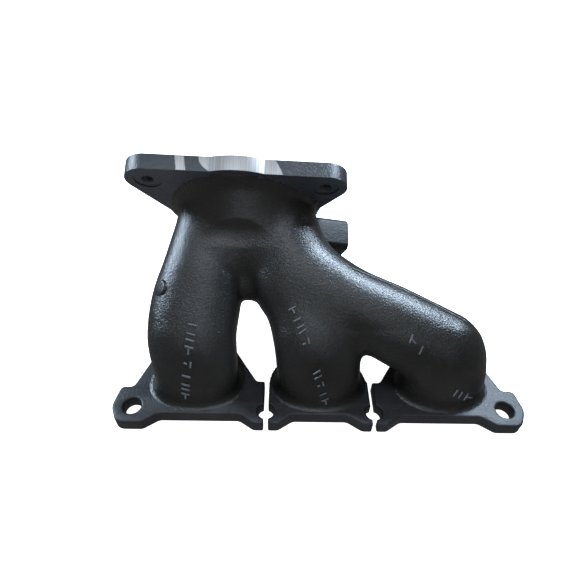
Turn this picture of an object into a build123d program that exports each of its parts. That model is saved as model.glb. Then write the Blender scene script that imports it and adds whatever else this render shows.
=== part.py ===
from build123d import *
import math
import os

# Three-into-one cast exhaust manifold for one bank of a V6 engine, in millimetres.
# The frame: origin in the middle port, on the face that seals to the cylinder head,
# +X along the row of ports, +Y from the head flange towards the outlet, +Z away from the head.

# Head flange
PORT_PITCH = 103.0
FLANGE_THICKNESS = 11.0
FLANGE_MARGIN = 8.5            # a runner's side to the front edge between the lugs
LUG_REACH = 8.0                # the lugs stand out in front of that edge
SPLIT_CLEARANCE = 6.5          # middle runner's foot to the middle of the split line
SPLIT_GAP = 3.7
SPLIT_LUG_FLAT = 8.0           # half lug on each side of a split line
SPLIT_LUG_BACK = 1.0           # the split lug's back edge, behind the port centre
SPLIT_HOLE_FRONT = 5.0         # a runner's side to the hole that the split line runs through
LOWER_HOLE_SIDE = 15.0         # end runner's edge to the hole in the outer lug, along the flange
LOWER_HOLE_FRONT = 1.5
OUTER_LUG_FLAT = 20.0
OUTER_LUG_END = 17.0           # the outer lug's hole to the end of the flange
OUTER_LUG_BACK = 18.5          # the outer lug's hole to its back edge
OUTER_LUG_SHOULDER = 4.0       # the outer lug's hole to the foot of the web beside it
UPPER_HOLE_BACK = 15.0         # a runner's side to the hole behind it
UPPER_BOSS_RADIUS = 12.0
OUTER_WEB_REACH = 3.5          # end runner's edge to the upper corner of the outer web
INNER_WEB_REACH = 27.0         # end port centre to the upper corner of the inner web
MIDDLE_WEB_REACH = 30.0
WEB_SHOULDER = 12.0            # the web's upper corners, below the boss's top edge
LUG_SLOPE = 12.0               # how far a lug's front corner runs out along the flange
LOWER_HOLE_DIAMETER = 14.0
SPLIT_HOLE_DIAMETER = 13.0
UPPER_HOLE_DIAMETER = 11.0
FLANGE_CORNER = 4.0

# Runners
RUNNER_WIDTH = 69.0
RUNNER_HEIGHT = 46.0
WALL = 5.5
SKIRT_FLARE = 3.0              # how far a runner's foot spreads over the head flange
SKIRT_HEIGHT = 4.0
BEND_RADIUS = 40.0             # every runner leans over towards +Y on this radius
STREAM_WIDTH = 62.0
BEND_SWELL = 4.0               # a runner is that much deeper where its bend ends
CROTCH_SWELL = 8.0             # and that much where it meets its neighbour
STREAM_SPACING = 57.0          # between the two streams that enter the outlet
STREAM_SHIFT = 6.0             # outlet axis to the middle of the two streams
ELBOW_RUN = 33.0               # skirt to the centre of the rear runner's elbow
ELBOW_SHIFT = 2.0              # the elbow's centre, from the port centre towards the middle port
ELBOW_DIAMETER = 66.0
REAR_HEADING = 64.0            # the rear runner's turn towards the middle port, in degrees
REAR_LENGTH = 96.5             # the straight slanting part of the rear runner

# Outlet flange: three ears round one bore, its axis leaning from +Z towards +Y
OUTLET_FROM_FRONT = 31.0       # front port centre to the outlet axis, along the row of ports
OUTLET_Y = 119.0
OUTLET_TILT = 60.0
OUTLET_THICKNESS = 13.5
OUTLET_BORE_RADIUS = 44.0
NECK_WALL = 8.0
NECK_OFFSET = 3.0              # the neck leans from the bore towards the middle of the streams
NECK_FLARE = 5.0
NECK_FLARE_LENGTH = 10.0
FLANGE_LAND = 19.0             # from the bore to the round edge of the flange
EAR_OFFSET = 38.5              # from the bore to the centre of an ear
EAR_RADIUS = 18.0
OUTLET_TURN = 3.0              # the three ears' turn round the outlet axis, in degrees
EAR_HOLE_DIAMETER = 8.5        # tapping drill of an M10 thread
SPOTFACE_DIAMETER = 22.0
SPOTFACE_DEPTH = 1.0

# Where the casting is divided into its named sections
COLLECTOR_LENGTH = 84.0        # outlet flange down to the crotch of the front and middle runners
CROTCH_SHIFT = 6.0             # that crotch, from halfway between the ports towards the front
REAR_CROTCH_BELOW = 9.0        # elbow's centre down to the crotch of the middle and rear runners
MIDDLE_REAR_HEADING = 36.0     # their dividing plane leans towards the middle runner, in degrees

# Sensor boss, gusset and shield pad
SENSOR_SIZE = 28.0
SENSOR_LENGTH = 48.0           # its root is buried in the collector
SENSOR_DEPTH = 29.0
SENSOR_REACH = 28.5            # the right stream's side to the boss's end face
SENSOR_BELOW_OUTLET = 23.0
SENSOR_BEHIND = 14.0           # outlet axis to the boss centre, away from the runners' front
SENSOR_TURN = 14.0             # degrees the boss turns away from the row of ports
SENSOR_CHAMFER = 4.0
SENSOR_HOLE_DIAMETER = 16.5    # tapping drill of an M18 x 1.5 thread
GUSSET_THICKNESS = 8.0
GUSSET_HEIGHT = 14.0
GUSSET_ANGLE = 350.0           # round the outlet axis
PAD_DIAMETER = 14.0
PAD_HEIGHT = 3.0
PAD_ANGLE = 140.0              # round the front runner, from +X over its near side

# Places that follow from the sizes above
FRONT_PORT_X = -PORT_PITCH
REAR_PORT_X = PORT_PITCH
FLANGE_FRONT = RUNNER_HEIGHT / 2 + FLANGE_MARGIN
LUG_FRONT = FLANGE_FRONT + LUG_REACH
SPLIT_X = RUNNER_WIDTH / 2 + SKIRT_FLARE + SPLIT_CLEARANCE
SPLIT_HOLE_Y = -RUNNER_HEIGHT / 2 - SPLIT_HOLE_FRONT
LOWER_HOLE_X = REAR_PORT_X + RUNNER_WIDTH / 2 + LOWER_HOLE_SIDE
LOWER_HOLE_Y = -RUNNER_HEIGHT / 2 - LOWER_HOLE_FRONT
FLANGE_END = LOWER_HOLE_X + OUTER_LUG_END
UPPER_HOLE_Y = RUNNER_HEIGHT / 2 + UPPER_HOLE_BACK
UPPER_TOP = UPPER_HOLE_Y + UPPER_BOSS_RADIUS
OUTLET_X = FRONT_PORT_X + OUTLET_FROM_FRONT
LEFT_STREAM_X = OUTLET_X + STREAM_SHIFT - STREAM_SPACING / 2
RIGHT_STREAM_X = OUTLET_X + STREAM_SHIFT + STREAM_SPACING / 2
NECK_RADIUS = OUTLET_BORE_RADIUS + NECK_WALL
BULGE_RADIUS = OUTLET_BORE_RADIUS + FLANGE_LAND
BOLT_CIRCLE_RADIUS = OUTLET_BORE_RADIUS + EAR_OFFSET
FAR = 400.0                    # longer than the whole part, for cutters that run right through


def save(solid, name):
    export_step(solid, "parts/" + name + ".step")


# ---- The curved surface that the runners are centred on -------------------------------------


def runner_point(x, run):
    """The point `run` mm up from the skirt, at `x` along the row of ports."""
    lean = math.radians(OUTLET_TILT)
    angle = min(max(run / BEND_RADIUS, 0.0), lean)
    straight = max(run - BEND_RADIUS * lean, 0.0)
    y = BEND_RADIUS * (1 - math.cos(angle)) + straight * math.sin(lean)
    z = FLANGE_THICKNESS + SKIRT_HEIGHT + BEND_RADIUS * math.sin(angle) + straight * math.cos(lean)
    return Vector(x, y, z)


def runner_direction(run):
    """Straight on along that surface."""
    angle = min(max(run / BEND_RADIUS, 0.0), math.radians(OUTLET_TILT))
    return Vector(0, math.sin(angle), math.cos(angle))


def run_at(y):
    """How far up from the skirt the surface reaches `y`, past its bend."""
    lean = math.radians(OUTLET_TILT)
    return BEND_RADIUS * lean + (y - BEND_RADIUS * (1 - math.cos(lean))) / math.sin(lean)


OUTLET_RUN = run_at(OUTLET_Y)
CROTCH_RUN = OUTLET_RUN - COLLECTOR_LENGTH
BEND_END = BEND_RADIUS * math.radians(OUTLET_TILT)
OUTLET_PLANE = Plane(
    origin=runner_point(OUTLET_X, OUTLET_RUN),
    x_dir=(1, 0, 0),
    z_dir=runner_direction(OUTLET_RUN),
)


def station(x, run, heading, width, height):
    """An oval across a runner that heads `heading` degrees from straight on towards -X."""
    turn = math.radians(heading)
    ahead = runner_direction(run)
    side = Vector(1, 0, 0)
    normal = ahead * math.cos(turn) - side * math.sin(turn)
    across = side * math.cos(turn) + ahead * math.sin(turn)
    plane = Plane(origin=runner_point(x, run), x_dir=across, z_dir=normal)
    return plane * Ellipse(width / 2, height / 2)


def tube(stations, inset):
    """A lofted tube through stations of x, run, heading, width and height, less the inset."""
    return loft([
        station(x, run, heading, width - 2 * inset, height - 2 * inset)
        for x, run, heading, width, height in stations
    ])


# ---- Gas streams ----------------------------------------------------------------------------


def front_stream(inset, end):
    return tube([
        (FRONT_PORT_X, 0, 0, RUNNER_WIDTH, RUNNER_HEIGHT),
        (FRONT_PORT_X, BEND_END / 2, 0, RUNNER_WIDTH, RUNNER_HEIGHT + 1),
        (FRONT_PORT_X - 1, BEND_END, -1, RUNNER_WIDTH + 2, RUNNER_HEIGHT + BEND_SWELL),
        (FRONT_PORT_X + 2, CROTCH_RUN + 4, 7, RUNNER_WIDTH + 2, RUNNER_HEIGHT + CROTCH_SWELL),
        (LEFT_STREAM_X, OUTLET_RUN - 38, 5, STREAM_WIDTH - 4, STREAM_WIDTH - 6),
        (LEFT_STREAM_X + 1, end, 0, STREAM_WIDTH - 6, STREAM_WIDTH - 6),
    ], inset)


def middle_stream(inset, end):
    return tube([
        (0, 0, 0, RUNNER_WIDTH, RUNNER_HEIGHT),
        (0, BEND_END / 2, 4, RUNNER_WIDTH, RUNNER_HEIGHT + 1),
        (0.13 * RIGHT_STREAM_X, BEND_END, 12, RUNNER_WIDTH, RUNNER_HEIGHT + BEND_SWELL),
        (0.45 * RIGHT_STREAM_X, CROTCH_RUN, 16, STREAM_WIDTH + 3, RUNNER_HEIGHT + CROTCH_SWELL),
        (RIGHT_STREAM_X, OUTLET_RUN - 38, 6, STREAM_WIDTH, STREAM_WIDTH - 4),
        (RIGHT_STREAM_X, end, 0, STREAM_WIDTH - 1, STREAM_WIDTH - 5),
    ], inset)


def slant_place(length):
    """The x and run of the rear runner, `length` mm on from its elbow."""
    turn = math.radians(REAR_HEADING)
    x = REAR_PORT_X - ELBOW_SHIFT - length * math.sin(turn)
    return x, ELBOW_RUN + length * math.cos(turn)


def rear_stream(inset):
    """From the elbow, slanting across the middle runner and into its stream."""
    elbow_x, elbow_run = slant_place(0)
    middle_x, middle_run = slant_place(REAR_LENGTH / 2)
    turn_x, turn_run = slant_place(REAR_LENGTH)
    end_x = RIGHT_STREAM_X + 4
    end_run = OUTLET_RUN - 18
    return tube([
        (elbow_x, elbow_run, REAR_HEADING, ELBOW_DIAMETER - 1, ELBOW_DIAMETER - 6),
        (middle_x, middle_run, REAR_HEADING, STREAM_WIDTH + 2, STREAM_WIDTH - 2),
        (turn_x, turn_run, REAR_HEADING - 7, STREAM_WIDTH, STREAM_WIDTH - 1),
        (
            turn_x + 0.62 * (end_x - turn_x), turn_run + 0.41 * (end_run - turn_run), 38,
            STREAM_WIDTH, STREAM_WIDTH - 1,
        ),
        (end_x, end_run, 10, STREAM_WIDTH - 1, STREAM_WIDTH - 3),
    ], inset)


def rear_leg(inset):
    """The rear runner's upright start, with the ball that turns it towards the middle port."""
    upright = tube([
        (REAR_PORT_X, 0, 0, RUNNER_WIDTH, RUNNER_HEIGHT),
        (REAR_PORT_X, ELBOW_RUN / 2, 0, RUNNER_WIDTH, RUNNER_HEIGHT + 2),
        (REAR_PORT_X - ELBOW_SHIFT / 2, ELBOW_RUN, 0, ELBOW_DIAMETER, ELBOW_DIAMETER - 8),
    ], inset)
    centre = runner_point(REAR_PORT_X - ELBOW_SHIFT, ELBOW_RUN)
    ball = Pos(centre.X, centre.Y, centre.Z) * Sphere(ELBOW_DIAMETER / 2 - 2 - inset)
    return [upright, ball]


def core(inset, end):
    """The waist that joins the left and right streams under the outlet."""
    middle_x = OUTLET_X + STREAM_SHIFT
    return tube([
        (middle_x + 6, CROTCH_RUN - 2, 4, STREAM_WIDTH - 18, STREAM_WIDTH - 32),
        (middle_x + 4, CROTCH_RUN + 18, 2, STREAM_WIDTH + 8, STREAM_WIDTH - 18),
        (middle_x + 1, OUTLET_RUN - 30, 0, STREAM_WIDTH + 30, STREAM_WIDTH + 2),
        (OUTLET_X + NECK_OFFSET, end, 0, 2 * NECK_RADIUS - 4, 2 * NECK_RADIUS - 4),
    ], inset)


def foot(port_x, inset, below):
    """The straight start of a runner, from `below` the skirt's base up to the first bend."""
    plane = Plane.XY.offset(FLANGE_THICKNESS - below) * Pos(port_x, 0, 0)
    face = plane * Ellipse(RUNNER_WIDTH / 2 - inset, RUNNER_HEIGHT / 2 - inset)
    return extrude(face, SKIRT_HEIGHT + below)


def skirt(port_x):
    """The runner's foot spreads out over the head flange."""
    lower = Plane.XY.offset(FLANGE_THICKNESS) * Pos(port_x, 0, 0)
    upper = Plane.XY.offset(FLANGE_THICKNESS + SKIRT_HEIGHT) * Pos(port_x, 0, 0)
    wide = lower * Ellipse(RUNNER_WIDTH / 2 + SKIRT_FLARE, RUNNER_HEIGHT / 2 + SKIRT_FLARE)
    narrow = upper * Ellipse(RUNNER_WIDTH / 2, RUNNER_HEIGHT / 2)
    return loft([wide, narrow], ruled=True)


def neck():
    """The round collar under the outlet flange, flared where it meets it."""
    place = OUTLET_PLANE * Pos(NECK_OFFSET, 0, -NECK_FLARE_LENGTH)
    standing = (Align.CENTER, Align.CENTER, Align.MIN)
    flare = Cone(NECK_RADIUS, NECK_RADIUS + NECK_FLARE, NECK_FLARE_LENGTH, align=standing)
    return place * flare


def outer_body():
    solid = front_stream(0, OUTLET_RUN) + middle_stream(0, OUTLET_RUN) + rear_stream(0)
    for piece in rear_leg(0) + [core(0, OUTLET_RUN), neck()]:
        solid = solid + piece
    for port_x in (FRONT_PORT_X, 0, REAR_PORT_X):
        solid = solid + skirt(port_x)
    return solid


def passages():
    """The hollows, as separate overlapping cutters that run past both ends."""
    past = OUTLET_RUN + 2
    bore = OUTLET_PLANE * Pos(0, 0, -NECK_FLARE_LENGTH / 2) * Cylinder(
        OUTLET_BORE_RADIUS, FAR, align=(Align.CENTER, Align.CENTER, Align.MIN)
    )
    cutters = [front_stream(WALL, past), middle_stream(WALL, past), rear_stream(WALL)]
    cutters += rear_leg(WALL)
    cutters += [core(WALL + 1, past), bore]
    cutters += [foot(port_x, WALL, 2) for port_x in (FRONT_PORT_X, 0, REAR_PORT_X)]
    return cutters


def hollow_out(outer):
    for cutter in passages():
        outer = outer - cutter
    return outer


# ---- Sections of the casting ----------------------------------------------------------------


def half_space(origin, direction):
    """Everything that lies in `direction` from a plane through `origin`."""
    plane = Plane(origin=origin, z_dir=direction)
    return plane * Box(4 * FAR, 4 * FAR, FAR, align=(Align.CENTER, Align.CENTER, Align.MIN))


def rear_region():
    """The space of the rear runner: past the crotch with the middle one, before the collector."""
    lean = math.radians(MIDDLE_REAR_HEADING)
    ahead = runner_direction(BEND_END)
    across = Vector(math.cos(lean), 0, 0) + ahead * math.sin(lean)
    crotch = runner_point(RUNNER_WIDTH / 2, ELBOW_RUN - REAR_CROTCH_BELOW)
    past_crotch = half_space(crotch, across)
    turn = math.radians(REAR_HEADING)
    back = Vector(math.sin(turn), 0, 0) - ahead * math.cos(turn)
    before_join = half_space(runner_point(*slant_place(REAR_LENGTH)), back)
    return past_crotch & before_join


def stream_sections(outer):
    """The hollow casting between the flanges, divided into three runners and the collector."""
    casting = hollow_out(outer)
    outlet_side = half_space(runner_point(0, CROTCH_RUN), OUTLET_PLANE.z_dir)
    middle_side = half_space((-PORT_PITCH / 2 - CROTCH_SHIFT, 0, 0), (1, 0, 0))
    rear = casting & rear_region()
    others = casting - rear_region()
    runners = others - outlet_side
    return {
        "runner_front": runners - middle_side,
        "runner_middle": runners & middle_side,
        "runner_rear": rear,
        "collector": (others & outlet_side) - sensor_drill(),
    }


# ---- Head flange ----------------------------------------------------------------------------

def port_and_holes(port_x):
    """The cutters for one section of the head flange."""
    flange_middle = FLANGE_THICKNESS / 2
    port = Pos(port_x, 0, flange_middle) * extrude(
        Ellipse(RUNNER_WIDTH / 2 - WALL, RUNNER_HEIGHT / 2 - WALL), FAR, both=True
    )
    holes = [port]
    for x in (-LOWER_HOLE_X, LOWER_HOLE_X):
        holes.append(Pos(x, LOWER_HOLE_Y, flange_middle) * Cylinder(LOWER_HOLE_DIAMETER / 2, FAR))
    for x in (-SPLIT_X, SPLIT_X):
        holes.append(Pos(x, SPLIT_HOLE_Y, flange_middle) * Cylinder(SPLIT_HOLE_DIAMETER / 2, FAR))
    upper = Pos(port_x, UPPER_HOLE_Y, flange_middle) * Cylinder(UPPER_HOLE_DIAMETER / 2, FAR)
    return holes + [upper]


def flange_plate(outline, port_x):
    face = make_face(Polyline(outline, close=True))
    face = fillet(face.vertices(), FLANGE_CORNER)
    plate = extrude(face, FLANGE_THICKNESS)
    for cutter in port_and_holes(port_x):
        plate = plate - cutter
    return plate


def end_outline(side):
    """One end section; `side` is 1 for the rear end and -1 for the front end."""
    slot = SPLIT_X + SPLIT_GAP / 2
    lug = LOWER_HOLE_X - OUTER_LUG_FLAT / 2
    shoulder = UPPER_TOP - WEB_SHOULDER
    points = [
        (slot, -LUG_FRONT),
        (slot + SPLIT_LUG_FLAT, -LUG_FRONT),
        (slot + SPLIT_LUG_FLAT + LUG_SLOPE, -FLANGE_FRONT),
        (lug - LUG_SLOPE, -FLANGE_FRONT),
        (lug, -LUG_FRONT),
        (lug + OUTER_LUG_FLAT, -LUG_FRONT),
        (FLANGE_END, LOWER_HOLE_Y),
        (FLANGE_END - FLANGE_CORNER, LOWER_HOLE_Y + OUTER_LUG_BACK),
        (LOWER_HOLE_X + OUTER_LUG_SHOULDER, LOWER_HOLE_Y + OUTER_LUG_BACK),
        (PORT_PITCH + RUNNER_WIDTH / 2 + OUTER_WEB_REACH, shoulder),
        (PORT_PITCH + UPPER_BOSS_RADIUS, UPPER_TOP),
        (PORT_PITCH - UPPER_BOSS_RADIUS, UPPER_TOP),
        (PORT_PITCH - INNER_WEB_REACH, shoulder),
        (slot + SPLIT_LUG_FLAT, SPLIT_LUG_BACK),
        (slot, SPLIT_LUG_BACK),
    ]
    return [(side * x, y) for x, y in points]


def middle_outline():
    slot = SPLIT_X - SPLIT_GAP / 2
    right = [
        (slot - SPLIT_LUG_FLAT - LUG_SLOPE, -FLANGE_FRONT),
        (slot - SPLIT_LUG_FLAT, -LUG_FRONT),
        (slot, -LUG_FRONT),
        (slot, SPLIT_LUG_BACK),
        (MIDDLE_WEB_REACH, UPPER_TOP - 2 * WEB_SHOULDER),
        (UPPER_BOSS_RADIUS, UPPER_TOP),
    ]
    return right + [(-x, y) for x, y in reversed(right)]


def head_flange_sections():
    return {
        "head_flange_front": flange_plate(end_outline(-1), FRONT_PORT_X),
        "head_flange_middle": flange_plate(middle_outline(), 0),
        "head_flange_rear": flange_plate(end_outline(1), REAR_PORT_X),
    }


# ---- Outlet flange --------------------------------------------------------------------------

EAR_ANGLES = [angle + OUTLET_TURN for angle in (90, 210, 330)]


def ear_place(angle, radius=BOLT_CIRCLE_RADIUS):
    turn = math.radians(angle)
    return Pos(radius * math.cos(turn), radius * math.sin(turn), 0)


def outlet_flange():
    ears = [ear_place(angle) * Circle(EAR_RADIUS) for angle in EAR_ANGLES]
    triangle = make_hull([edge for ear in ears for edge in ear.edges()])
    face = triangle + Circle(BULGE_RADIUS)
    plate = extrude(face, OUTLET_THICKNESS) - Cylinder(OUTLET_BORE_RADIUS, FAR)
    for angle in EAR_ANGLES:
        plate = plate - ear_place(angle) * Cylinder(EAR_HOLE_DIAMETER / 2, FAR)
        plate = plate - ear_place(angle) * Cylinder(SPOTFACE_DIAMETER / 2, 2 * SPOTFACE_DEPTH)
    return OUTLET_PLANE * plate


def ear_gusset(outer):
    """A small rib that props the right front ear against the collector."""
    tip = BOLT_CIRCLE_RADIUS - SPOTFACE_DIAMETER / 2 - 1
    root = OUTLET_BORE_RADIUS
    profile = make_face(Polyline(
        [(root, 0), (tip, 0), (root, -GUSSET_HEIGHT - (tip - root) / 2)], close=True
    ))
    rib = extrude(Plane.XZ * profile, GUSSET_THICKNESS / 2, both=True)
    return OUTLET_PLANE * (Rot(0, 0, GUSSET_ANGLE) * rib) - outer


# ---- Sensor boss ----------------------------------------------------------------------------


def sensor_place():
    """The middle of the boss's end face, its axis pointing out along local X."""
    end_x = RIGHT_STREAM_X + STREAM_WIDTH / 2 + SENSOR_REACH
    place = OUTLET_PLANE * Pos(end_x - OUTLET_X, SENSOR_BEHIND, -SENSOR_BELOW_OUTLET)
    return place * Rot(0, 0, SENSOR_TURN)


def sensor_drill():
    drill = Rot(0, 90, 0) * Cylinder(SENSOR_HOLE_DIAMETER / 2, 2 * SENSOR_LENGTH)
    return sensor_place() * drill


def sensor_boss(outer):
    block = Pos(-SENSOR_LENGTH / 2, 0, 0) * Box(SENSOR_LENGTH, SENSOR_DEPTH, SENSOR_SIZE)
    block = chamfer(block.edges().filter_by(Axis.X), SENSOR_CHAMFER)
    return sensor_place() * block - outer - sensor_drill()


# ---- Shield pad ------------------------------------------------------------------------------


def surface_place(centre_x, run, width, height, around):
    """On a runner's skin, `around` degrees from +X towards the viewer; local +Z points out."""
    turn = math.radians(around)
    ahead = runner_direction(run)
    out = Vector(0, -ahead.Z, ahead.Y)
    point = runner_point(centre_x, run)
    point = point + Vector(math.cos(turn) * width / 2, 0, 0) + out * (math.sin(turn) * height / 2)
    normal = Vector(math.cos(turn) / width, 0, 0) + out * (math.sin(turn) / height)
    return Plane(origin=point, x_dir=ahead, z_dir=normal)


def shield_pad(outer):
    place = surface_place(
        FRONT_PORT_X + 2, CROTCH_RUN + 2, RUNNER_WIDTH + 2, RUNNER_HEIGHT + CROTCH_SWELL, PAD_ANGLE
    )
    pad = place * Pos(0, 0, PAD_HEIGHT) * Cylinder(
        PAD_DIAMETER / 2, PAD_HEIGHT * 4, align=(Align.CENTER, Align.CENTER, Align.MAX)
    )
    return pad - outer


def main():
    os.makedirs("parts", exist_ok=True)
    outer = outer_body()
    nodes = {}
    nodes.update(head_flange_sections())
    nodes.update(stream_sections(outer))
    nodes["outlet_flange"] = outlet_flange()
    nodes["ear_gusset"] = ear_gusset(outer)
    nodes["sensor_boss"] = sensor_boss(outer)
    nodes["shield_pad"] = shield_pad(outer)
    for name, solid in nodes.items():
        save(solid, name)


main()
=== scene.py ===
import math

import bmesh
import bpy
import numpy as np
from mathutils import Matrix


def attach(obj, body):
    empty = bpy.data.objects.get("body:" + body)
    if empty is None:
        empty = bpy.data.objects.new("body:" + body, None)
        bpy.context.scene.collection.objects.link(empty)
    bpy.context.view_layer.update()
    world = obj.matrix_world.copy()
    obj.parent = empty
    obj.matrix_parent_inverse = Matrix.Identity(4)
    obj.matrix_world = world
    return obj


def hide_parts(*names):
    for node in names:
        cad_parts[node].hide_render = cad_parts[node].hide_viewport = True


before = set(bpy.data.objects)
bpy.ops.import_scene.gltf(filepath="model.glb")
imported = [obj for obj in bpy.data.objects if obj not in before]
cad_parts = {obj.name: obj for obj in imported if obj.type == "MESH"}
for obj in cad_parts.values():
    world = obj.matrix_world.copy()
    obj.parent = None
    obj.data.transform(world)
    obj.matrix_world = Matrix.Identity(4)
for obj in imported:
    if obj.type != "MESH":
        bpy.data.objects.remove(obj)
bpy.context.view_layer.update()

import openvdb
from mathutils import Matrix, Vector
from mathutils.bvhtree import BVHTree

# A fresh file may hold starter objects, which aren't part of the manifold.
for starter in ("Cube", "Light", "Camera"):
    if starter in bpy.data.objects:
        bpy.data.objects.remove(bpy.data.objects[starter])

# ---- Runners and collector ------------------------------------------------------------------
# The gas-carrying part of the manifold: three hollow runners that lean over and flow together
# into a collector. It is one sand casting in grey iron with soft foundry fillets wherever two
# walls meet, and a baked black coat. Sizes are in millimetres, and MM turns them into metres.

MM = 0.001
PORT_PITCH = 103.0
FLANGE_TOP = 11.0
WALL = 5.5
BEND_START = 15.0
BEND_RADIUS = 40.0
LEAN = math.radians(60)
BEND_RUN = BEND_RADIUS * LEAN
BEND_END_Y = BEND_RADIUS * (1 - math.cos(LEAN))
BEND_END_Z = BEND_START + BEND_RADIUS * math.sin(LEAN)
OUTLET_X = -72.0
OUTLET_Y = 119.0
OUTLET_RUN = BEND_RUN + (OUTLET_Y - BEND_END_Y) / math.sin(LEAN)
OUTLET_Z = BEND_END_Z + (OUTLET_Y - BEND_END_Y) / math.tan(LEAN)
NECK_RADIUS = 52.0
NECK_OFFSET = 3.0
NECK_FLARE = 0.6
NECK_DEPTH = 26.0
BORE_RADIUS = 44.0
BORE_DEPTH = 6.0
RUNNER_WIDTH = 69.0
RUNNER_HEIGHT = 46.0
BELOW_FLANGE = -25.0
PAST_OUTLET = OUTLET_RUN + 20.0
CELL = 1.4
TINY = 1e-4


def surface_coordinates(y, z):
    """How far along the runners' common curved surface a point is, and how far proud of it."""
    angle = np.arctan2(z - BEND_START, BEND_RADIUS - y)
    reach = np.hypot(y - BEND_RADIUS, z - BEND_START)
    run = BEND_RADIUS * angle
    proud = reach - BEND_RADIUS
    foot = (z < BEND_START) & (y < BEND_RADIUS)
    run = np.where(foot, z - BEND_START, run)
    proud = np.where(foot, -y, proud)
    past = ((y - BEND_END_Y) * math.sin(LEAN) + (z - BEND_END_Z) * math.cos(LEAN) > 0) & ~foot
    past |= y >= BEND_RADIUS
    run = np.where(
        past, BEND_RUN + (y - BEND_END_Y) * math.sin(LEAN) + (z - BEND_END_Z) * math.cos(LEAN), run
    )
    proud = np.where(past, (z - BEND_END_Z) * math.sin(LEAN) - (y - BEND_END_Y) * math.cos(LEAN), proud)
    return run, proud


def surface_point(x, run, proud=0.0):
    """The point in the row frame at those surface coordinates."""
    angle = min(max(run / BEND_RADIUS, 0.0), LEAN)
    straight = max(run - BEND_RUN, 0.0)
    y = BEND_RADIUS * (1 - math.cos(angle)) + straight * math.sin(LEAN) - proud * math.cos(angle)
    z = BEND_START + BEND_RADIUS * math.sin(angle) + straight * math.cos(LEAN) + proud * math.sin(angle)
    return Vector((x, y, z + min(run, 0.0)))


def smooth_join(first, second, soft):
    """The union of two distance fields, with a fillet of about that size between them."""
    blend = np.clip(0.5 + 0.5 * (second - first) / soft, 0, 1)
    return second + (first - second) * blend - soft * blend * (1 - blend)


# The grid that the casting is worked out on, and how its height and depth map to the runs.
low_corner = np.array([-152.0, -36.0, FLANGE_TOP - 1.5])
high_corner = np.array([146.0, 164.0, 160.0])
xs = np.arange(low_corner[0], high_corner[0], CELL)
ys = np.arange(low_corner[1], high_corner[1], CELL)
zs = np.arange(low_corner[2], high_corner[2], CELL)
run_grid, proud_grid = surface_coordinates(*np.meshgrid(ys, zs, indexing="ij"))
TABLE_STEP = 1.0
table_runs = np.arange(-20.0, OUTLET_RUN + 70.0, TABLE_STEP)
table_place = np.clip((run_grid - table_runs[0]) / TABLE_STEP, 0, len(table_runs) - 1.001)
table_row = table_place.astype(int)
table_part = (table_place - table_row).astype(np.float32)


PATH_STEPS = 70


def stream(stations, corner=2.2):
    """The distance field of one gas stream, from stations of x, run, width and height."""
    stations = np.array(stations, float)
    ahead = np.concatenate([[0], np.cumsum(np.hypot(*np.diff(stations[:, :2], axis=0).T))])
    fine = np.linspace(0, ahead[-1], PATH_STEPS)
    tangents = np.gradient(stations, ahead, axis=0)
    place = np.clip(np.searchsorted(ahead, fine) - 1, 0, len(ahead) - 2)
    length = (ahead[place + 1] - ahead[place])[:, None]
    t = ((fine - ahead[place])[:, None]) / length
    line = (
        (2 * t**3 - 3 * t**2 + 1) * stations[place]
        + (t**3 - 2 * t**2 + t) * length * tangents[place]
        + (3 * t**2 - 2 * t**3) * stations[place + 1]
        + (t**3 - t**2) * length * tangents[place + 1]
    )
    flat_x, flat_run = np.meshgrid(xs, table_runs, indexing="ij")
    nearest = np.full(flat_x.shape, np.inf)
    wide = np.zeros(flat_x.shape)
    high = np.zeros(flat_x.shape)
    for start, end in zip(line[:-1], line[1:]):
        step = end[:2] - start[:2]
        share = ((flat_x - start[0]) * step[0] + (flat_run - start[1]) * step[1]) / (step @ step)
        share = np.clip(share, 0, 1)
        away = np.hypot(flat_x - start[0] - share * step[0], flat_run - start[1] - share * step[1])
        closer = away < nearest
        nearest = np.where(closer, away, nearest)
        wide = np.where(closer, (start[2] + share * (end[2] - start[2])) / 2, wide)
        high = np.where(closer, (start[3] + share * (end[3] - start[3])) / 2, high)

    def spread(table):
        table = table.astype(np.float32)
        return table[:, table_row] * (1 - table_part) + table[:, table_row + 1] * table_part

    side = spread(nearest)
    wide = spread(wide)
    high = spread(high)
    proud = proud_grid.astype(np.float32)[None]
    away = np.sqrt(side**2 + proud**2) + 1e-3

    def shell(inset):
        across = (side / (wide - inset)) ** corner
        through = np.abs(proud / (high - inset)) ** corner
        return away - away / np.maximum((across + through) ** (1 / corner), TINY)

    return shell(0.0), shell(WALL)


# The front and middle runners part at the crotch, and rise from it at left_x and right_x.
crotch_run = OUTLET_RUN - 84.0
left_x = -94.5
right_x = -37.5
front_outer, front_inner = stream([
    (-PORT_PITCH, BELOW_FLANGE, RUNNER_WIDTH, RUNNER_HEIGHT),
    (-PORT_PITCH, 20, RUNNER_WIDTH, RUNNER_HEIGHT + 1),
    (-PORT_PITCH - 2.5, 42, 72, 50),
    (-PORT_PITCH, crotch_run + 2, 73, 54),
    (-PORT_PITCH + 2, crotch_run + 14, 71, 56),
    (left_x - 4, OUTLET_RUN - 45, 64, 57),
    (left_x - 1, OUTLET_RUN - 15, 58, 57),
    (left_x, PAST_OUTLET, 58, 58),
], corner=2.35)
middle_outer, middle_inner = stream([
    (-1, BELOW_FLANGE, RUNNER_WIDTH, RUNNER_HEIGHT),
    (-1, 10, RUNNER_WIDTH, RUNNER_HEIGHT),
    (-5, 42, RUNNER_WIDTH, RUNNER_HEIGHT + 4),
    (-16, crotch_run, 66, 54),
    (-25, crotch_run + 14, 66, 57),
    (right_x + 2, OUTLET_RUN - 38, 64, 59),
    (right_x, PAST_OUTLET, 60, 58),
], corner=2.3)
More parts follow.
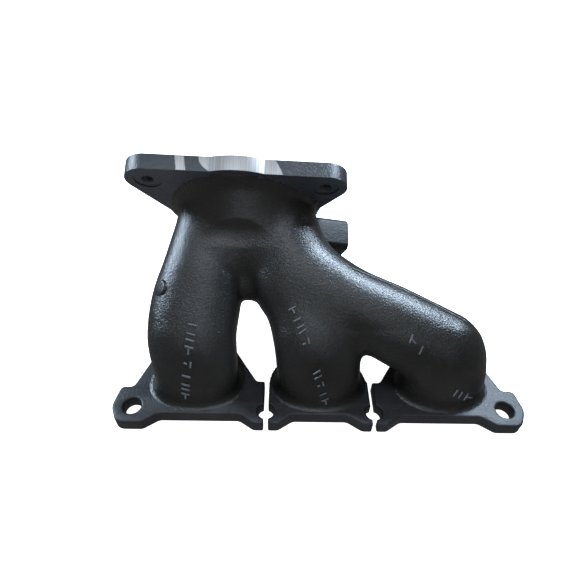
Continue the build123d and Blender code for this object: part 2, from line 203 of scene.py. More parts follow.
leg_outer, leg_inner = stream([
    (PORT_PITCH, BELOW_FLANGE, RUNNER_WIDTH, RUNNER_HEIGHT),
    (PORT_PITCH, 12, RUNNER_WIDTH, RUNNER_HEIGHT + 2),
    (PORT_PITCH - 1, 24, 68, 52),
], corner=2.2)
rear_outer, rear_inner = stream([
    (PORT_PITCH - 4, 33, 63, 57),
    (60, 52, 64, 60),
    (14, 75, 62, 61),
    (-14, 98, 62, 60),
    (right_x + 5, OUTLET_RUN - 24, 61, 59),
], corner=2.1)
# The waist is the web of iron that fills in between the two streams below the outlet.
waist_outer, waist_inner = stream([
    (-60, crotch_run + 19, 40, 26),
    (-63, crotch_run + 34, 60, 22),
    (-66, OUTLET_RUN - 30, 70, 26),
    (-68, OUTLET_RUN - 12, 84, 50),
    (OUTLET_X + NECK_OFFSET, OUTLET_RUN + 2, 98, 98),
], corner=2.6)

# The round neck under the outlet flange and the bore inside it.
grid_x, grid_y, grid_z = np.meshgrid(xs, ys, zs, indexing="ij", sparse=True)
above_outlet = (grid_y - OUTLET_Y) * math.sin(LEAN) + (grid_z - OUTLET_Z) * math.cos(LEAN)
across_outlet = (grid_y - OUTLET_Y) * math.cos(LEAN) - (grid_z - OUTLET_Z) * math.sin(LEAN)
from_axis = np.sqrt((grid_x - OUTLET_X - NECK_OFFSET) ** 2 + across_outlet**2)
neck = np.maximum(from_axis - NECK_RADIUS - NECK_FLARE * above_outlet, -NECK_DEPTH - above_outlet)
bore = np.sqrt((grid_x - OUTLET_X) ** 2 + across_outlet**2) - BORE_RADIUS
bore = np.maximum(bore, -BORE_DEPTH - above_outlet)

outer = smooth_join(middle_outer, smooth_join(leg_outer, rear_outer, 6.0), 11.0)
# The crotch is tight, and the valley above it opens out softly.
CROTCH_FILLET = 7.0
VALLEY_FILLET = 41.0
VALLEY_LENGTH = 34.0
opened = np.clip((run_grid[None] - crotch_run - 1.0) / VALLEY_LENGTH, 0, 1)
valley = CROTCH_FILLET + (VALLEY_FILLET - CROTCH_FILLET) * opened
outer = smooth_join(outer, front_outer, valley)
outer = smooth_join(outer, waist_outer, 6.0)
outer = smooth_join(outer, neck, 17.0)
# Both flanges are joined with a foundry fillet, and the skin then ends just inside them.
FLANGE_FILLET = 9.0
outer = smooth_join(outer, grid_z - (FLANGE_TOP - 0.3), FLANGE_FILLET)
outer = smooth_join(outer, 0.8 - above_outlet, FLANGE_FILLET)
CORE_FILLET = 8.0
inner = smooth_join(leg_inner, rear_inner, CORE_FILLET)
inner = smooth_join(middle_inner, inner, CORE_FILLET)
inner = smooth_join(inner, front_inner, CORE_FILLET)
inner = smooth_join(inner, waist_inner, CORE_FILLET)
inner = smooth_join(inner, bore, 3.0)
casting = np.maximum(outer, -inner)
casting = np.maximum(casting, above_outlet - 0.7)
casting = np.maximum(casting, FLANGE_TOP - 0.25 - grid_z)

volume = openvdb.FloatGrid()
volume.copyFromArray(casting.astype(np.float32))
points, quads = volume.convertToQuads(isovalue=0.0)
points = points * CELL + low_corner
quads = quads[:, ::-1]


def smooth_normals(points, quads):
    """Outward normals at the points of the whole casting, shared by the pieces cut from it."""
    first = points[quads[:, 2]] - points[quads[:, 0]]
    second = points[quads[:, 3]] - points[quads[:, 1]]
    face_normals = np.cross(first, second)
    normals = np.zeros_like(points)
    for corner in range(4):
        np.add.at(normals, quads[:, corner], face_normals)
    return normals / np.maximum(np.linalg.norm(normals, axis=1), 1e-9)[:, None]


normals = smooth_normals(points, quads)
# The casting's named sections, as on the drawing: each keeps the skin on its side of a plane.
FRONT_SIDE_X = -57.5
centres = points[quads].mean(axis=1)
rear_turn = math.radians(65)
part_turn = math.radians(36)
ahead = np.array([0, math.sin(LEAN), math.cos(LEAN)])
along_x = np.array([1.0, 0, 0])
past_crotch = (centres - np.array(surface_point(34, 24))) @ (
    along_x * math.cos(part_turn) + ahead * math.sin(part_turn)
)
before_join = (centres - np.array(surface_point(12, 77))) @ (
    along_x * math.sin(rear_turn) - ahead * math.cos(rear_turn)
)
is_rear = (past_crotch > 0) & (before_join > 0)
is_collector = ((centres - np.array(surface_point(0, crotch_run))) @ ahead > 0) & ~is_rear
is_front = (centres[:, 0] < FRONT_SIDE_X) & ~is_rear & ~is_collector
is_middle = ~(is_rear | is_collector | is_front)


def coated_iron(name, base, peel, sheen):
    """Black coat baked on sand-cast iron: orange-peel grain, faint mottling, semi-gloss."""
    material = bpy.data.materials.new(name)
    material.use_nodes = True
    nodes = material.node_tree.nodes
    link = material.node_tree.links.new
    shader = nodes["Principled BSDF"]
    shader.inputs["IOR"].default_value = 1.5
    place = nodes.new("ShaderNodeTexCoord")
    grain = nodes.new("ShaderNodeTexNoise")
    grain.inputs["Scale"].default_value = 650
    grain.inputs["Detail"].default_value = 3
    grain.inputs["Roughness"].default_value = 0.6
    lumps = nodes.new("ShaderNodeTexNoise")
    lumps.inputs["Scale"].default_value = 130
    lumps.inputs["Detail"].default_value = 2
    patches = nodes.new("ShaderNodeTexNoise")
    patches.inputs["Scale"].default_value = 22
    patches.inputs["Detail"].default_value = 4
    for noise in (grain, lumps, patches):
        link(place.outputs["Object"], noise.inputs["Vector"])
    colour = nodes.new("ShaderNodeValToRGB")
    dark, pale = colour.color_ramp.elements
    dark.position = 0.3
    dark.color = (*[channel * 0.72 for channel in base], 1)
    pale.position = 0.75
    pale.color = (*[channel * 1.3 for channel in base], 1)
    link(patches.outputs["Fac"], colour.inputs["Fac"])
    link(colour.outputs["Color"], shader.inputs["Base Color"])
    gloss = nodes.new("ShaderNodeMapRange")
    gloss.inputs["To Min"].default_value = sheen - 0.08
    gloss.inputs["To Max"].default_value = sheen + 0.1
    link(grain.outputs["Fac"], gloss.inputs["Value"])
    link(gloss.outputs["Result"], shader.inputs["Roughness"])
    coarse = nodes.new("ShaderNodeBump")
    coarse.inputs["Strength"].default_value = 0.35
    coarse.inputs["Distance"].default_value = 0.0006
    link(lumps.outputs["Fac"], coarse.inputs["Height"])
    fine = nodes.new("ShaderNodeBump")
    fine.inputs["Strength"].default_value = peel
    fine.inputs["Distance"].default_value = 0.00042
    link(grain.outputs["Fac"], fine.inputs["Height"])
    link(coarse.outputs["Normal"], fine.inputs["Normal"])
    link(fine.outputs["Normal"], shader.inputs["Normal"])
    return material


runner_coat = coated_iron("runner_coat", (0.0095, 0.009, 0.0085), 1.0, 0.30)


def skin_piece(name, chosen, node, material):
    """One named section of the casting's skin."""
    kept = quads[chosen]
    used, faces = np.unique(kept, return_inverse=True)
    mesh = bpy.data.meshes.new(name)
    mesh.from_pydata((points[used] * MM).tolist(), [], faces.reshape(-1, 4).tolist())
    mesh.shade_smooth()
    mesh.normals_split_custom_set_from_vertices(normals[used].tolist())
    mesh.materials.append(material)
    piece = bpy.data.objects.new(name, mesh)
    bpy.context.collection.objects.link(piece)
    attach(piece, "root")
    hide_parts(node)
    return piece


skin_piece("front_runner", is_front, "runner_front", runner_coat)
skin_piece("middle_runner", is_middle, "runner_middle", runner_coat)
skin_piece("rear_runner", is_rear, "runner_rear", runner_coat)
skin_piece("stream_collector", is_collector, "collector", runner_coat)

# ---- Cast marks -----------------------------------------------------------------------------
# Plain raised strokes on the three runners, cast in the same iron by cuts in the foundry's pattern.
# Their coat is painted a far lighter, bluer grey than the casting's: a painted highlight for the light
# their rounded tops catch.

MARK_PROUD = 0.5
MARK_LEAN = math.radians(50)
SKIN_REACH = 90.0
mark_outward = Vector((0, -math.sin(MARK_LEAN), math.cos(MARK_LEAN)))
skin_tree = BVHTree.FromPolygons(points.tolist(), quads.tolist())
# A coat about ten times lighter than the casting's: a painted highlight on the raised ribs, not a
# colour of the iron.
mark_highlight_coat = coated_iron("mark_highlight_coat", (0.085, 0.088, 0.095), 0.4, 0.3)


def on_skin(x, run):
    """The place on the casting's near side above that point of the runners' surface."""
    above = surface_point(x, run, SKIN_REACH)
    aim = surface_point(x, run) - above
    return skin_tree.ray_cast(above, aim.normalized())[0]


def raised_lines(name, lines, radius, node):
    """Fine rounded ribs cast on the skin, along lines of x and run."""
    curve = bpy.data.curves.new(name, "CURVE")
    curve.dimensions = "3D"
    curve.bevel_depth = radius * MM
    curve.bevel_resolution = 3
    curve.use_fill_caps = True
    for line in lines:
        spots = [on_skin(x, run) for x, run in line]
        spline = curve.splines.new("POLY")
        spline.points.add(len(spots) - 1)
        for point, spot in zip(spline.points, spots):
            point.co = (*((spot + MARK_PROUD * mark_outward) * MM), 1)
    drawing = bpy.data.objects.new(name + "_drawing", curve)
    bpy.context.collection.objects.link(drawing)
    bpy.context.view_layer.update()
    mesh = bpy.data.meshes.new_from_object(
        drawing.evaluated_get(bpy.context.evaluated_depsgraph_get())
    )
    bpy.data.objects.remove(drawing)
    # The ribs take the light grey coat, a painted highlight.
    mesh.materials.clear()
    mesh.materials.append(mark_highlight_coat)
    mesh.shade_smooth()
    piece = bpy.data.objects.new(name, mesh)
    bpy.context.collection.objects.link(piece)
    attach(piece, "root")
    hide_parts(node)


def between(start, end, steps):
    """The points of a straight line of x and run, cut into equal steps."""
    return [
        (start[0] + (end[0] - start[0]) * step / steps, start[1] + (end[1] - start[1]) * step / steps)
        for step in range(steps + 1)
    ]


STROKE_SHARE = 0.55


def casting_marks(first, last, count, height, strokes):
    """A column of plain raised marks, each of a few short strokes, with no meaning."""
    ahead = Vector((last[0] - first[0], last[1] - first[1]))
    pace = ahead / max(count - 1, 1)
    across = Vector((-ahead.y, ahead.x)).normalized() * height
    along = ahead.normalized() * pace.length * STROKE_SHARE
    lines = []
    for place in range(count):
        low = Vector(first) + pace * place
        for (u0, v0), (u1, v1) in strokes[place % len(strokes)]:
            lines.append(between(low + along * u0 + across * v0, low + along * u1 + across * v1, 4))
    return lines


BAR = [((0.5, 0), (0.5, 1))]
TWIN = [((0.1, 0), (0.1, 1)), ((0.9, 0), (0.9, 1))]
STEP = [((0, 0), (0, 1)), ((0, 0.5), (1, 0.5))]
SHORT = [((0.5, 0.1), (0.5, 0.45)), ((0.1, 0.9), (0.9, 0.9))]
raised_lines(
    "front_runner_marks", casting_marks((-104, 46), (-111, 7), 7, 6.5, [BAR, TWIN, STEP, SHORT]),
    0.75, "runner_front",
)
raised_lines(
    "middle_runner_marks",
    casting_marks((-27, 57), (-17, 36), 4, 6, [STEP, BAR, TWIN, SHORT])
    + casting_marks((-7, 20), (1, 2), 4, 5.5, [TWIN, SHORT, BAR, STEP]),
    0.7, "runner_middle",
)
raised_lines(
    "rear_runner_marks",
    casting_marks((66, 36), (72, 32), 2, 4.5, [STEP, BAR])
    + casting_marks((105, 8), (116, 4), 2, 5, [TWIN, STEP]),
    0.7, "runner_rear",
)
# ---- Flash line -----------------------------------------------------------------------------
# A fine ridge of iron along the back of the rear runner. The mould's two halves met there, and
# the fettler left what ran in between them.

flash_line = (
    between((24, 93), (54, 81.5), 14)
    + between((56, 80.7), (87, 66.5), 14)
    + between((89, 65.5), (114, 51), 12)
)
# The flash ridge takes the marks' light grey coat too: a painted highlight along it.
raised_lines("rear_runner_flash", [flash_line], 0.7, "runner_rear")

# ---- Head flange ----------------------------------------------------------------------------
# The flange that seals to the cylinder head, cast in one with the runners and then sawn through
# two bolt holes, so that its three sections can grow apart when hot. The underside is milled.

FLANGE_THICKNESS = 11.0
FLANGE_FRONT = 31.5
LUG_FRONT = 39.5
FLANGE_END = 169.5
SPLIT_X = 44.0
SPLIT_GAP = 3.7
SPLIT_HOLE_Y = -28.0
SPLIT_HOLE_RADIUS = 6.5
UPPER_TOP = 50.0
UPPER_HOLE_Y = 38.0
UPPER_HOLE_RADIUS = 5.5
LUG_HOLE_X = 152.5
LUG_HOLE_Y = -24.5
LUG_HOLE_RADIUS = 7.0
PORT_HALF_WIDTH = 29.0
PORT_HALF_HEIGHT = 17.5
FLANGE_EDGE = 1.9


def rounded(corners):
    """An outline from corners of x, y and rounding radius, its corners drawn as arcs."""
    outline = []
    for place, (x, y, radius) in enumerate(corners):
        corner = Vector((x, y))
        before = Vector(corners[place - 1][:2]) - corner
        after = Vector(corners[(place + 1) % len(corners)][:2]) - corner
        half = before.angle(after) / 2
        reach = min(radius / math.tan(half), 0.49 * before.length, 0.49 * after.length)
        radius = reach * math.tan(half)
        inward = (before.normalized() + after.normalized()).normalized()
        centre = corner + inward * radius / math.sin(half)
        start = corner + before.normalized() * reach - centre
        end = corner + after.normalized() * reach - centre
        turn = start.angle_signed(end)
        steps = max(2, round(abs(turn) / math.radians(7)))
        for step in range(steps + 1):
            arm = start.copy()
            arm.rotate(Matrix.Rotation(-turn * step / steps, 2))
            outline.append(centre + arm)
    return outline


def ring(x, y, across, along=None, steps=72):
    """A round or oval hole, from its two half widths."""
    along = along or across
    return [
        Vector((x + across * math.cos(turn), y + along * math.sin(turn)))
        for turn in (2 * math.pi * step / steps for step in range(steps))
    ]


def flat_casting(name, loops, thickness, edge):
    """A mesh of a flat casting that stands on its own plane, its upper edges rounded."""
    curve = bpy.data.curves.new(name, "CURVE")
    curve.dimensions = "2D"
    curve.fill_mode = "BOTH"
    for loop in loops:
        line = curve.splines.new("POLY")
        line.points.add(len(loop) - 1)
        for point, spot in zip(line.points, loop):
            point.co = (spot.x * MM, spot.y * MM, 0, 1)
        line.use_cyclic_u = True
    curve.extrude = thickness * MM
    curve.bevel_depth = edge * MM
    curve.bevel_resolution = 4
    curve.offset = -edge * MM
    drawing = bpy.data.objects.new(name + "_drawing", curve)
    bpy.context.collection.objects.link(drawing)
    bpy.context.view_layer.update()
    mesh = bpy.data.meshes.new_from_object(
        drawing.evaluated_get(bpy.context.evaluated_depsgraph_get())
    )
    bpy.data.objects.remove(drawing)
    work = bmesh.new()
    work.from_mesh(mesh)
    bmesh.ops.translate(work, verts=work.verts, vec=(0, 0, -edge * MM))
    bmesh.ops.remove_doubles(work, verts=work.verts, dist=1e-6)
    everything = work.verts[:] + work.edges[:] + work.faces[:]
    cut = bmesh.ops.bisect_plane(
        work, geom=everything, plane_co=(0, 0, 0), plane_no=(0, 0, 1), clear_inner=True
    )
    rim = [part for part in cut["geom_cut"] if isinstance(part, bmesh.types.BMEdge)]
    bmesh.ops.triangle_fill(work, edges=rim, use_beauty=True, normal=(0, 0, -1))
    work.to_mesh(mesh)
    work.free()
    mesh.materials.clear()
    return mesh


def cut_away(mesh, cutters):
    """The mesh less each of the cutter meshes, cut one at a time."""
    body = bpy.data.objects.new("being_cut", mesh)
    bpy.context.collection.objects.link(body)
    tools = []
    for cutter in cutters:
        tool = bpy.data.objects.new("cutter", cutter)
        bpy.context.collection.objects.link(tool)
        step = body.modifiers.new("cut", "BOOLEAN")
        step.object = tool
        step.solver = "EXACT"
        tools.append(tool)
    bpy.context.view_layer.update()
    result = bpy.data.meshes.new_from_object(
        body.evaluated_get(bpy.context.evaluated_depsgraph_get())
    )
    for tool in tools + [body]:
        bpy.data.objects.remove(tool)
    return result


def iron_piece(name, mesh, material, smooth_below=38):
    """A finished piece of the casting, rigid with the rest of it."""
    mesh.materials.clear()
    mesh.materials.append(material)
    mesh.shade_smooth()
    mesh.set_sharp_from_angle(angle=math.radians(smooth_below))
    piece = bpy.data.objects.new(name, mesh)
    bpy.context.collection.objects.link(piece)
    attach(piece, "root")
    return piece


def end_corners(side):
    """The corners of an end section, `side` 1 for the rear end and -1 for the front end."""
    slot = SPLIT_X + SPLIT_GAP / 2
    corners = [
        (slot, -LUG_FRONT, 1.5), (slot + 8, -LUG_FRONT, 6), (slot + 20, -FLANGE_FRONT, 8),
        (130.5, -FLANGE_FRONT, 8), (142.5, -LUG_FRONT, 7), (162.5, -LUG_FRONT, 9),
        (FLANGE_END, LUG_HOLE_Y, 14), (166, -6, 4), (156, -6, 5), (141, 38, 10), (115, UPPER_TOP, 8),
        (91, UPPER_TOP, 8), (76, 38, 10), (slot + 7, 1, 5), (slot, 1, 1.5),
    ]
    corners = [(side * x, y, radius) for x, y, radius in corners]
    return corners if side > 0 else corners[::-1]


slot_side = SPLIT_X - SPLIT_GAP / 2
middle_right = [
    (slot_side - 20, -FLANGE_FRONT, 8), (slot_side - 8, -LUG_FRONT, 6), (slot_side, -LUG_FRONT, 1.5),
    (slot_side, 1, 2), (30, 26, 8), (12, UPPER_TOP, 8),
]
middle_corners = middle_right + [(-x, y, radius) for x, y, radius in reversed(middle_right)]


LONG_EDGE = 20.0


def bitten(outline, x, y, radius):
    """The outline with a round bite where a bolt hole runs out through the sawn edge."""
    kept = list(outline)
    bites = []
    for place, end in enumerate(outline):
        start = outline[place - 1]
        sawn = abs(end.x - start.x) < TINY and abs(end.y - start.y) > LONG_EDGE
        if not sawn or abs(end.x - x) >= radius:
            continue
        way = 1 if end.y > start.y else -1
        inward = 1 if start.x > x else -1
        half = math.acos(abs(start.x - x) / radius)
        arc = [
            Vector((x + inward * radius * math.cos(turn), y + way * radius * math.sin(turn)))
            for turn in np.linspace(-half, half, 24)
        ]
        bites.append((place, arc))
    for place, arc in reversed(bites):
        kept[place:place] = arc
    return kept


# The same black coat as the runners, with a lighter, bluer base colour: a painted blue sheen that
# stands in for light reflected off the flange's upward faces.
flange_coat_painted_sheen = coated_iron("flange_coat_painted_sheen", (0.012, 0.0125, 0.0145), 0.9, 0.47)
for name, node, port_x, corners in (
    ("front_head_flange", "head_flange_front", -PORT_PITCH, end_corners(-1)),
    ("middle_head_flange", "head_flange_middle", 0.0, middle_corners),
    ("rear_head_flange", "head_flange_rear", PORT_PITCH, end_corners(1)),
):
    outline = rounded(corners)
    for side in (-1, 1):
        outline = bitten(outline, side * SPLIT_X, SPLIT_HOLE_Y, SPLIT_HOLE_RADIUS)
    port = ring(port_x, 0, PORT_HALF_WIDTH, PORT_HALF_HEIGHT)
    loops = [outline, port, ring(port_x, UPPER_HOLE_Y, UPPER_HOLE_RADIUS)]
    if port_x:
        loops.append(ring(math.copysign(LUG_HOLE_X, port_x), LUG_HOLE_Y, LUG_HOLE_RADIUS))
    section_mesh = flat_casting(name, loops, FLANGE_THICKNESS, FLANGE_EDGE)
    piece = iron_piece(name, section_mesh, flange_coat_painted_sheen)
    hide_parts(node)

# ---- Outlet flange --------------------------------------------------------------------------
# The plate that the next pipe bolts up to: three tapped ears round the bore, cast on in iron
# and milled flat on its sealing face. The rim is as cast and coated, but for the front, where
# the cutter has bared the metal.

outlet_frame = Matrix((
    (1, 0, 0, OUTLET_X * MM),
    (0, math.cos(LEAN), math.sin(LEAN), OUTLET_Y * MM),
    (0, -math.sin(LEAN), math.cos(LEAN), OUTLET_Z * MM),
    (0, 0, 0, 1),
))
OUTLET_THICKNESS = 13.5
BOLT_CIRCLE = 82.5
EAR_RADIUS = 18.0
BULGE_RADIUS = 63.0
EAR_TWIST = 3
EAR_DRILL_RADIUS = 4.25
SPOTFACE_RADIUS = 11.0
THREAD_PITCH = 1.5
PLATE_EDGE = 0.7
ear_turns = [math.radians(angle + EAR_TWIST) for angle in (90, 210, 330)]


def flange_outline():
    """The hull of three round ears, with the bore's bulge standing out of its sides."""
    outline = []
    for turn in np.linspace(0, 2 * math.pi, 480, endpoint=False):
        way = Vector((math.cos(turn), math.sin(turn)))
        reach = BULGE_RADIUS
        for ear_turn in ear_turns:
            ear = Vector((math.cos(ear_turn), math.sin(ear_turn))) * BOLT_CIRCLE
            offset = abs(way.cross(ear))
            if offset < EAR_RADIUS and way.dot(ear) > 0:
                reach = max(reach, way.dot(ear) + math.sqrt(EAR_RADIUS**2 - offset**2))
            side_turn = ear_turn + math.radians(60)
            facing = math.cos(turn - side_turn)
            side = BOLT_CIRCLE / 2 + EAR_RADIUS
            if facing > math.cos(math.radians(60)):
                across = side * math.tan(turn - side_turn)
                if abs(across) < BOLT_CIRCLE * math.cos(math.radians(30)):
                    reach = max(reach, side / facing)
        outline.append(way * reach)
    return outline


def turned(profile, steps=48):
    """A turned solid from its profile of radius and height, closed at both ends."""
    work = bmesh.new()
    rings = []
    for radius, height in profile:
        rings.append([
            work.verts.new((
                radius * MM * math.cos(2 * math.pi * step / steps),
                radius * MM * math.sin(2 * math.pi * step / steps), height * MM,
            ))
            for step in range(steps)
        ])
    for lower, upper in zip(rings[:-1], rings[1:]):
        for step in range(steps):
            after = (step + 1) % steps
            work.faces.new((lower[step], lower[after], upper[after], upper[step]))
    work.faces.new(rings[0][::-1])
    work.faces.new(rings[-1])
    mesh = bpy.data.meshes.new("turned")
    work.to_mesh(mesh)
    work.free()
    return mesh


THREAD_DEPTH_SHARE = 0.54


def tapped_hole(drill, pitch, depth, mouth=None, steps=40):
    """The turned cutter of a threaded hole that starts at its own plane and goes down."""
    groove = THREAD_DEPTH_SHARE * pitch
    lead_in = drill + 1.1 * groove
    profile = [(mouth or lead_in, 0.6)]
    if mouth:
        profile += [(mouth, -1.0), (lead_in, -1.0)]
    profile.append((drill + groove, profile[-1][1] - 0.3))
    height = profile[-1][1] - 0.5 * pitch
    while height > -depth:
        profile += [(drill, height), (drill + groove, height - 0.5 * pitch)]
        height -= pitch
    profile.append((drill, -depth - 0.6))
    return turned(profile[::-1], steps)


# The same black coat again, with a still lighter, bluer base colour: a painted blue sheen that stands
# in for light reflected off the outlet flange's faces.
outlet_coat_painted_sheen = coated_iron("outlet_coat_painted_sheen", (0.016, 0.018, 0.022), 1.0, 0.36)


def milled(material, name, base, bands, rim_middle_z):
    """The coat cut back to bare milled iron on the sealing face and in bands of the rim."""
    bare = material.copy()
    bare.name = name
    nodes = bare.node_tree.nodes
    link = bare.node_tree.links.new
    coat = nodes["Principled BSDF"]
    place = next(node for node in nodes if node.bl_idname == "ShaderNodeTexCoord")
    split = nodes.new("ShaderNodeSeparateXYZ")
    link(place.outputs["Object"], split.inputs["Vector"])

    def sums(operation, first, second, third=None):
        node = nodes.new("ShaderNodeMath")
        node.operation = operation
        for socket, value in zip(node.inputs, (first, second, third)):
            if isinstance(value, (int, float)):
                socket.default_value = value
            elif value is not None:
                link(value, socket)
        return node.outputs["Value"]

    wander = nodes.new("ShaderNodeTexNoise")
    wander.inputs["Scale"].default_value = 90
    link(place.outputs["Object"], wander.inputs["Vector"])
    height = sums("SUBTRACT", split.outputs["Z"], rim_middle_z * MM)
    shifted = sums("ADD", split.outputs["X"], sums("MULTIPLY", wander.outputs["Fac"], 0.0012))

    def limit(x, lean, bow, side):
        """1 on one side of a line across the rim, at `x`, that leans and bows."""
        bent = sums("MULTIPLY", sums("MULTIPLY", height, height), bow)
        place_x = sums("ADD", sums("ADD", shifted, sums("MULTIPLY", height, lean)), bent)
        step = nodes.new("ShaderNodeMapRange")
        step.inputs["From Min"].default_value = (x - 0.35 * side) * MM
        step.inputs["From Max"].default_value = (x + 0.35 * side) * MM
        link(place_x, step.inputs["Value"])
        return step.outputs["Result"]

    cuts = [
        sums("MULTIPLY", limit(low_x, lean, bow, 1), limit(high_x, other_lean, 0.0, -1))
        for low_x, lean, bow, high_x, other_lean in bands
    ]
    across_rim = sums(
        "ADD", sums("MULTIPLY", split.outputs["Y"], math.sin(LEAN)),
        sums("MULTIPLY", split.outputs["Z"], math.cos(LEAN)),
    )
    underside = (OUTLET_Y * math.sin(LEAN) + OUTLET_Z * math.cos(LEAN)) * MM
    on_rim = sums("GREATER_THAN", across_rim, underside + 0.4 * MM)
    near_side = sums("GREATER_THAN", split.outputs["Z"], (rim_middle_z - 12.0) * MM)
    band = sums("MULTIPLY", sums("MULTIPLY", sums("MAXIMUM", *cuts), on_rim), near_side)
    # The whole sealing face is milled as well.
    face = sums("GREATER_THAN", across_rim, underside + (OUTLET_THICKNESS - 0.35) * MM)
    cut = sums("MAXIMUM", band, face)

    lines = nodes.new("ShaderNodeTexNoise")
    lines.inputs["Scale"].default_value = 1.0
    lines.inputs["Detail"].default_value = 3
    stretch = nodes.new("ShaderNodeMapping")
    stretch.inputs["Scale"].default_value = (900, 12, 12)
    link(place.outputs["Object"], stretch.inputs["Vector"])
    link(stretch.outputs["Vector"], lines.inputs["Vector"])
    colour = nodes.new("ShaderNodeValToRGB")
    dark, pale = colour.color_ramp.elements
    dark.position = 0.3
    dark.color = (*[channel * 0.62 for channel in base], 1)
    pale.position = 0.7
    pale.color = (*base, 1)
    link(lines.outputs["Fac"], colour.inputs["Fac"])
    scratches = nodes.new("ShaderNodeBump")
    scratches.inputs["Strength"].default_value = 0.4
    scratches.inputs["Distance"].default_value = 0.0002
    link(lines.outputs["Fac"], scratches.inputs["Height"])
    metal = nodes.new("ShaderNodeBsdfPrincipled")
    metal.inputs["Metallic"].default_value = 0.85
    metal.inputs["Roughness"].default_value = 0.42
    link(colour.outputs["Color"], metal.inputs["Base Color"])
    link(scratches.outputs["Normal"], metal.inputs["Normal"])
    mix = nodes.new("ShaderNodeMixShader")
    link(cut, mix.inputs["Fac"])
    link(coat.outputs["BSDF"], mix.inputs[1])
    link(metal.outputs["BSDF"], mix.inputs[2])
    link(mix.outputs["Shader"], nodes["Material Output"].inputs["Surface"])
    return bare


# Each band has the x, lean and bow of its left limit, and the x and lean of its right limit.
rim_middle_z = OUTLET_Z + BULGE_RADIUS * math.sin(LEAN) + OUTLET_THICKNESS / 2 * math.cos(LEAN)
rim_finish = milled(outlet_coat_painted_sheen, "milled_rim", (0.36, 0.34, 0.33), [
    (OUTLET_X - 44, 0.3, 0.0, OUTLET_X - 37, 0.3),
    (OUTLET_X - 26, 0.2, -250.0, OUTLET_X + 32, 0.9),
], rim_middle_z)
plate_mesh = flat_casting(
    "outlet", [flange_outline(), ring(0, 0, BORE_RADIUS, steps=120)], OUTLET_THICKNESS, PLATE_EDGE
)
# Each ear is spot faced and tapped from its underside.
ear_cutters = []
for turn in ear_turns:
    cutter = tapped_hole(EAR_DRILL_RADIUS, THREAD_PITCH, OUTLET_THICKNESS + 1, SPOTFACE_RADIUS)
    ear_place = Vector((math.cos(turn), math.sin(turn), 0)) * BOLT_CIRCLE * MM
    cutter.transform(Matrix.Translation(ear_place) @ Matrix.Rotation(math.pi, 4, "X"))
    ear_cutters.append(cutter)
plate_mesh = cut_away(plate_mesh, ear_cutters)
plate_mesh.transform(outlet_frame)
outlet = iron_piece("outlet_flange_plate", plate_mesh, rim_finish)
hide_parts("outlet_flange")

# ---- Sensor boss ----------------------------------------------------------------------------
# A chamfered square block that stands out of the collector's side, drilled and tapped for the
# oxygen sensor. It is cast on in the same iron, and only its end face is cut.

SENSOR_SIZE = 28.0
SENSOR_DEPTH = 29.0
SENSOR_LENGTH = 48.0
SENSOR_CHAMFER = 4.0
SENSOR_EDGE = 0.9
SENSOR_TURN = math.radians(14)
SENSOR_OUT = 94.0
SENSOR_ACROSS = 14.0
SENSOR_BELOW = 23.0
SENSOR_DRILL_RADIUS = 8.25
SENSOR_HOLE_DEPTH = 24.0
sensor_place = (
    outlet_frame
    @ Matrix.Translation((SENSOR_OUT * MM, SENSOR_ACROSS * MM, -SENSOR_BELOW * MM))
    @ Matrix.Rotation(SENSOR_TURN, 4, "Z")
    @ Matrix.Rotation(math.pi / 2, 4, "Y")
)


def chamfered_block(size_x, size_y, length, chamfer, soften):
    """A square bar below its own plane, with chamfered corners and softened edges."""
    half_x = size_x / 2
    half_y = size_y / 2
    corners = [
        (half_x, half_y - chamfer), (half_x - chamfer, half_y), (chamfer - half_x, half_y),
        (-half_x, half_y - chamfer), (-half_x, chamfer - half_y), (chamfer - half_x, -half_y),
        (half_x - chamfer, -half_y), (half_x, chamfer - half_y),
    ]
    work = bmesh.new()
    low = [work.verts.new((x * MM, y * MM, -length * MM)) for x, y in corners]
    top = [work.verts.new((x * MM, y * MM, 0)) for x, y in corners]
    work.faces.new(low[::-1])
    work.faces.new(top)
    for place in range(len(corners)):
        after = (place + 1) % len(corners)
        work.faces.new((low[place], low[after], top[after], top[place]))
    bmesh.ops.bevel(
        work, geom=work.edges[:], offset=soften * MM, segments=3, profile=0.5, affect="EDGES"
    )
    mesh = bpy.data.meshes.new("block")
    work.to_mesh(mesh)
    work.free()
    return mesh


boss_mesh = chamfered_block(SENSOR_SIZE, SENSOR_DEPTH, SENSOR_LENGTH, SENSOR_CHAMFER, SENSOR_EDGE)
boss_mesh = cut_away(boss_mesh, [tapped_hole(SENSOR_DRILL_RADIUS, THREAD_PITCH, SENSOR_HOLE_DEPTH)])
boss_mesh.transform(sensor_place)
boss_coat = coated_iron("boss_coat", (0.009, 0.009, 0.0095), 0.9, 0.52)
boss = iron_piece("sensor_boss_block", boss_mesh, boss_coat)
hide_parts("sensor_boss")

# ---- Ear gusset -----------------------------------------------------------------------------
# The small rib under the right ear, cast in the same iron to stiffen it against the bolt's
# pull. Its mesh is the one from the drawing, and it gets the runners' coat.

for rib_slot in bpy.data.objects["ear_gusset"].material_slots:
    rib_slot.material = runner_coat

# ---- Shield pad -----------------------------------------------------------------------------
# A small round pad on the front runner's side that a heat shield bears on. It is cast on in
# the same iron as a low dome with a rounded foot, and its end is flat.

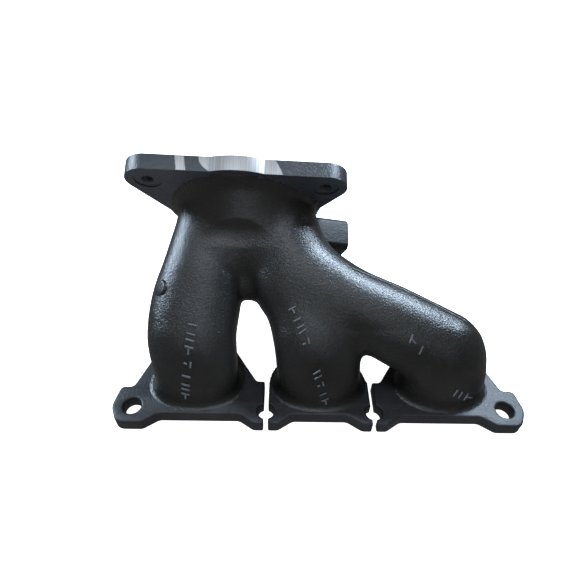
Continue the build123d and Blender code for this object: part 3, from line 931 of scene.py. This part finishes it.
PAD_ANGLE = math.radians(140)
PAD_SIDE = 2.0
pad_width = 71.0
pad_height = 54.0
pad_run = crotch_run + 2
pad_out = surface_point(0, pad_run, 1.0) - surface_point(0, pad_run)
pad_spot = surface_point(-PORT_PITCH + PAD_SIDE, pad_run)
pad_spot += Vector((math.cos(PAD_ANGLE) * pad_width / 2, 0, 0))
pad_spot += pad_out * math.sin(PAD_ANGLE) * pad_height / 2
pad_axis = Vector((math.cos(PAD_ANGLE) / pad_width, 0, 0)) + pad_out * math.sin(PAD_ANGLE) / pad_height
pad_mesh = turned([
    (9.5, -5.0), (8.9, -1.0), (7.9, 1.2), (7.3, 2.6), (6.9, 3.6), (6.2, 4.1), (5.4, 4.2), (0.4, 4.2),
])
pad_mesh.transform(
    Matrix.Translation(pad_spot * MM) @ pad_axis.to_track_quat("Z", "Y").to_matrix().to_4x4()
)
pad = iron_piece("heat_shield_pad", pad_mesh, runner_coat, smooth_below=60)
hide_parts("shield_pad")

# ---- Floor, light and camera ----------------------------------------------------------------
# A plain white studio sheet under the casting, lit softly from the right and the left, with two
# weaker lights overhead and in front. It is the stage, not a piece of the manifold.

FLOOR_HALF = 6.0
FLOOR_Z = -0.0005
floor_mesh = bpy.data.meshes.new("floor")
floor_corners = [(-1, -1), (1, -1), (1, 1), (-1, 1)]
floor_mesh.from_pydata(
    [(x * FLOOR_HALF, y * FLOOR_HALF, FLOOR_Z) for x, y in floor_corners], [], [(0, 1, 2, 3)]
)
floor = bpy.data.objects.new("floor", floor_mesh)
bpy.context.collection.objects.link(floor)
white = bpy.data.materials.new("white_floor")
white.use_nodes = True
sheet = white.node_tree.nodes["Principled BSDF"]
sheet.inputs["Base Color"].default_value = (0.9, 0.9, 0.9, 1)
sheet.inputs["Roughness"].default_value = 0.9
sheet.inputs["Emission Color"].default_value = (1, 1, 1, 1)
sheet.inputs["Emission Strength"].default_value = 1.1
floor_mesh.materials.append(white)
floor.visible_glossy = False


def soft_light(name, place, aim, width, height, power, tint):
    """A rectangular area light, turned to face its aim."""
    light = bpy.data.lights.new(name, "AREA")
    light.shape = "RECTANGLE"
    light.size = width
    light.size_y = height
    light.energy = power
    light.color = tint
    lamp = bpy.data.objects.new(name, light)
    lamp.location = place
    lamp.rotation_euler = (Vector(aim) - Vector(place)).to_track_quat("-Z", "Y").to_euler()
    bpy.context.collection.objects.link(lamp)


middle = (-0.02, 0.06, 0.06)
soft_light("right_softbox", (0.67, 0.68, 1.03), middle, 0.50, 0.24, 37, (0.66, 0.82, 1.0))
soft_light("left_window", (-1.18, 0.42, 0.72), middle, 0.24, 0.45, 24, (0.66, 0.82, 1.0))
soft_light("overhead_softbox", (-0.12, -0.1, 1.4), middle, 0.6, 0.35, 6, (0.78, 0.88, 1.0))
soft_light("front_strip", (0.0, -0.85, 1.05), middle, 0.9, 0.10, 2, (0.85, 0.93, 1.0))
world = bpy.data.worlds.new("room")
world.use_nodes = True
room_light = world.node_tree.nodes["Background"]
room_light.inputs["Color"].default_value = (1.0, 0.96, 0.91, 1)
room_light.inputs["Strength"].default_value = 0.14
bpy.context.scene.world = world

ELEVATION = math.radians(44)
YAW = math.radians(-1.43)
ROLL = math.radians(1.98)
CAMERA_PLACE = (-0.0319, -0.2256, 0.3371)
LENS = 28.144
camera_data = bpy.data.cameras.new("camera")
camera_data.sensor_width = 36
camera_data.lens = LENS
camera = bpy.data.objects.new("camera", camera_data)
camera.matrix_world = (
    Matrix.Translation(CAMERA_PLACE)
    @ Matrix.Rotation(YAW, 4, "Z")
    @ Matrix.Rotation(math.pi / 2 - ELEVATION, 4, "X")
    @ Matrix.Rotation(ROLL, 4, "Z")
)
bpy.context.collection.objects.link(camera)
bpy.context.scene.camera = camera
bpy.context.scene.view_settings.view_transform = "Standard"
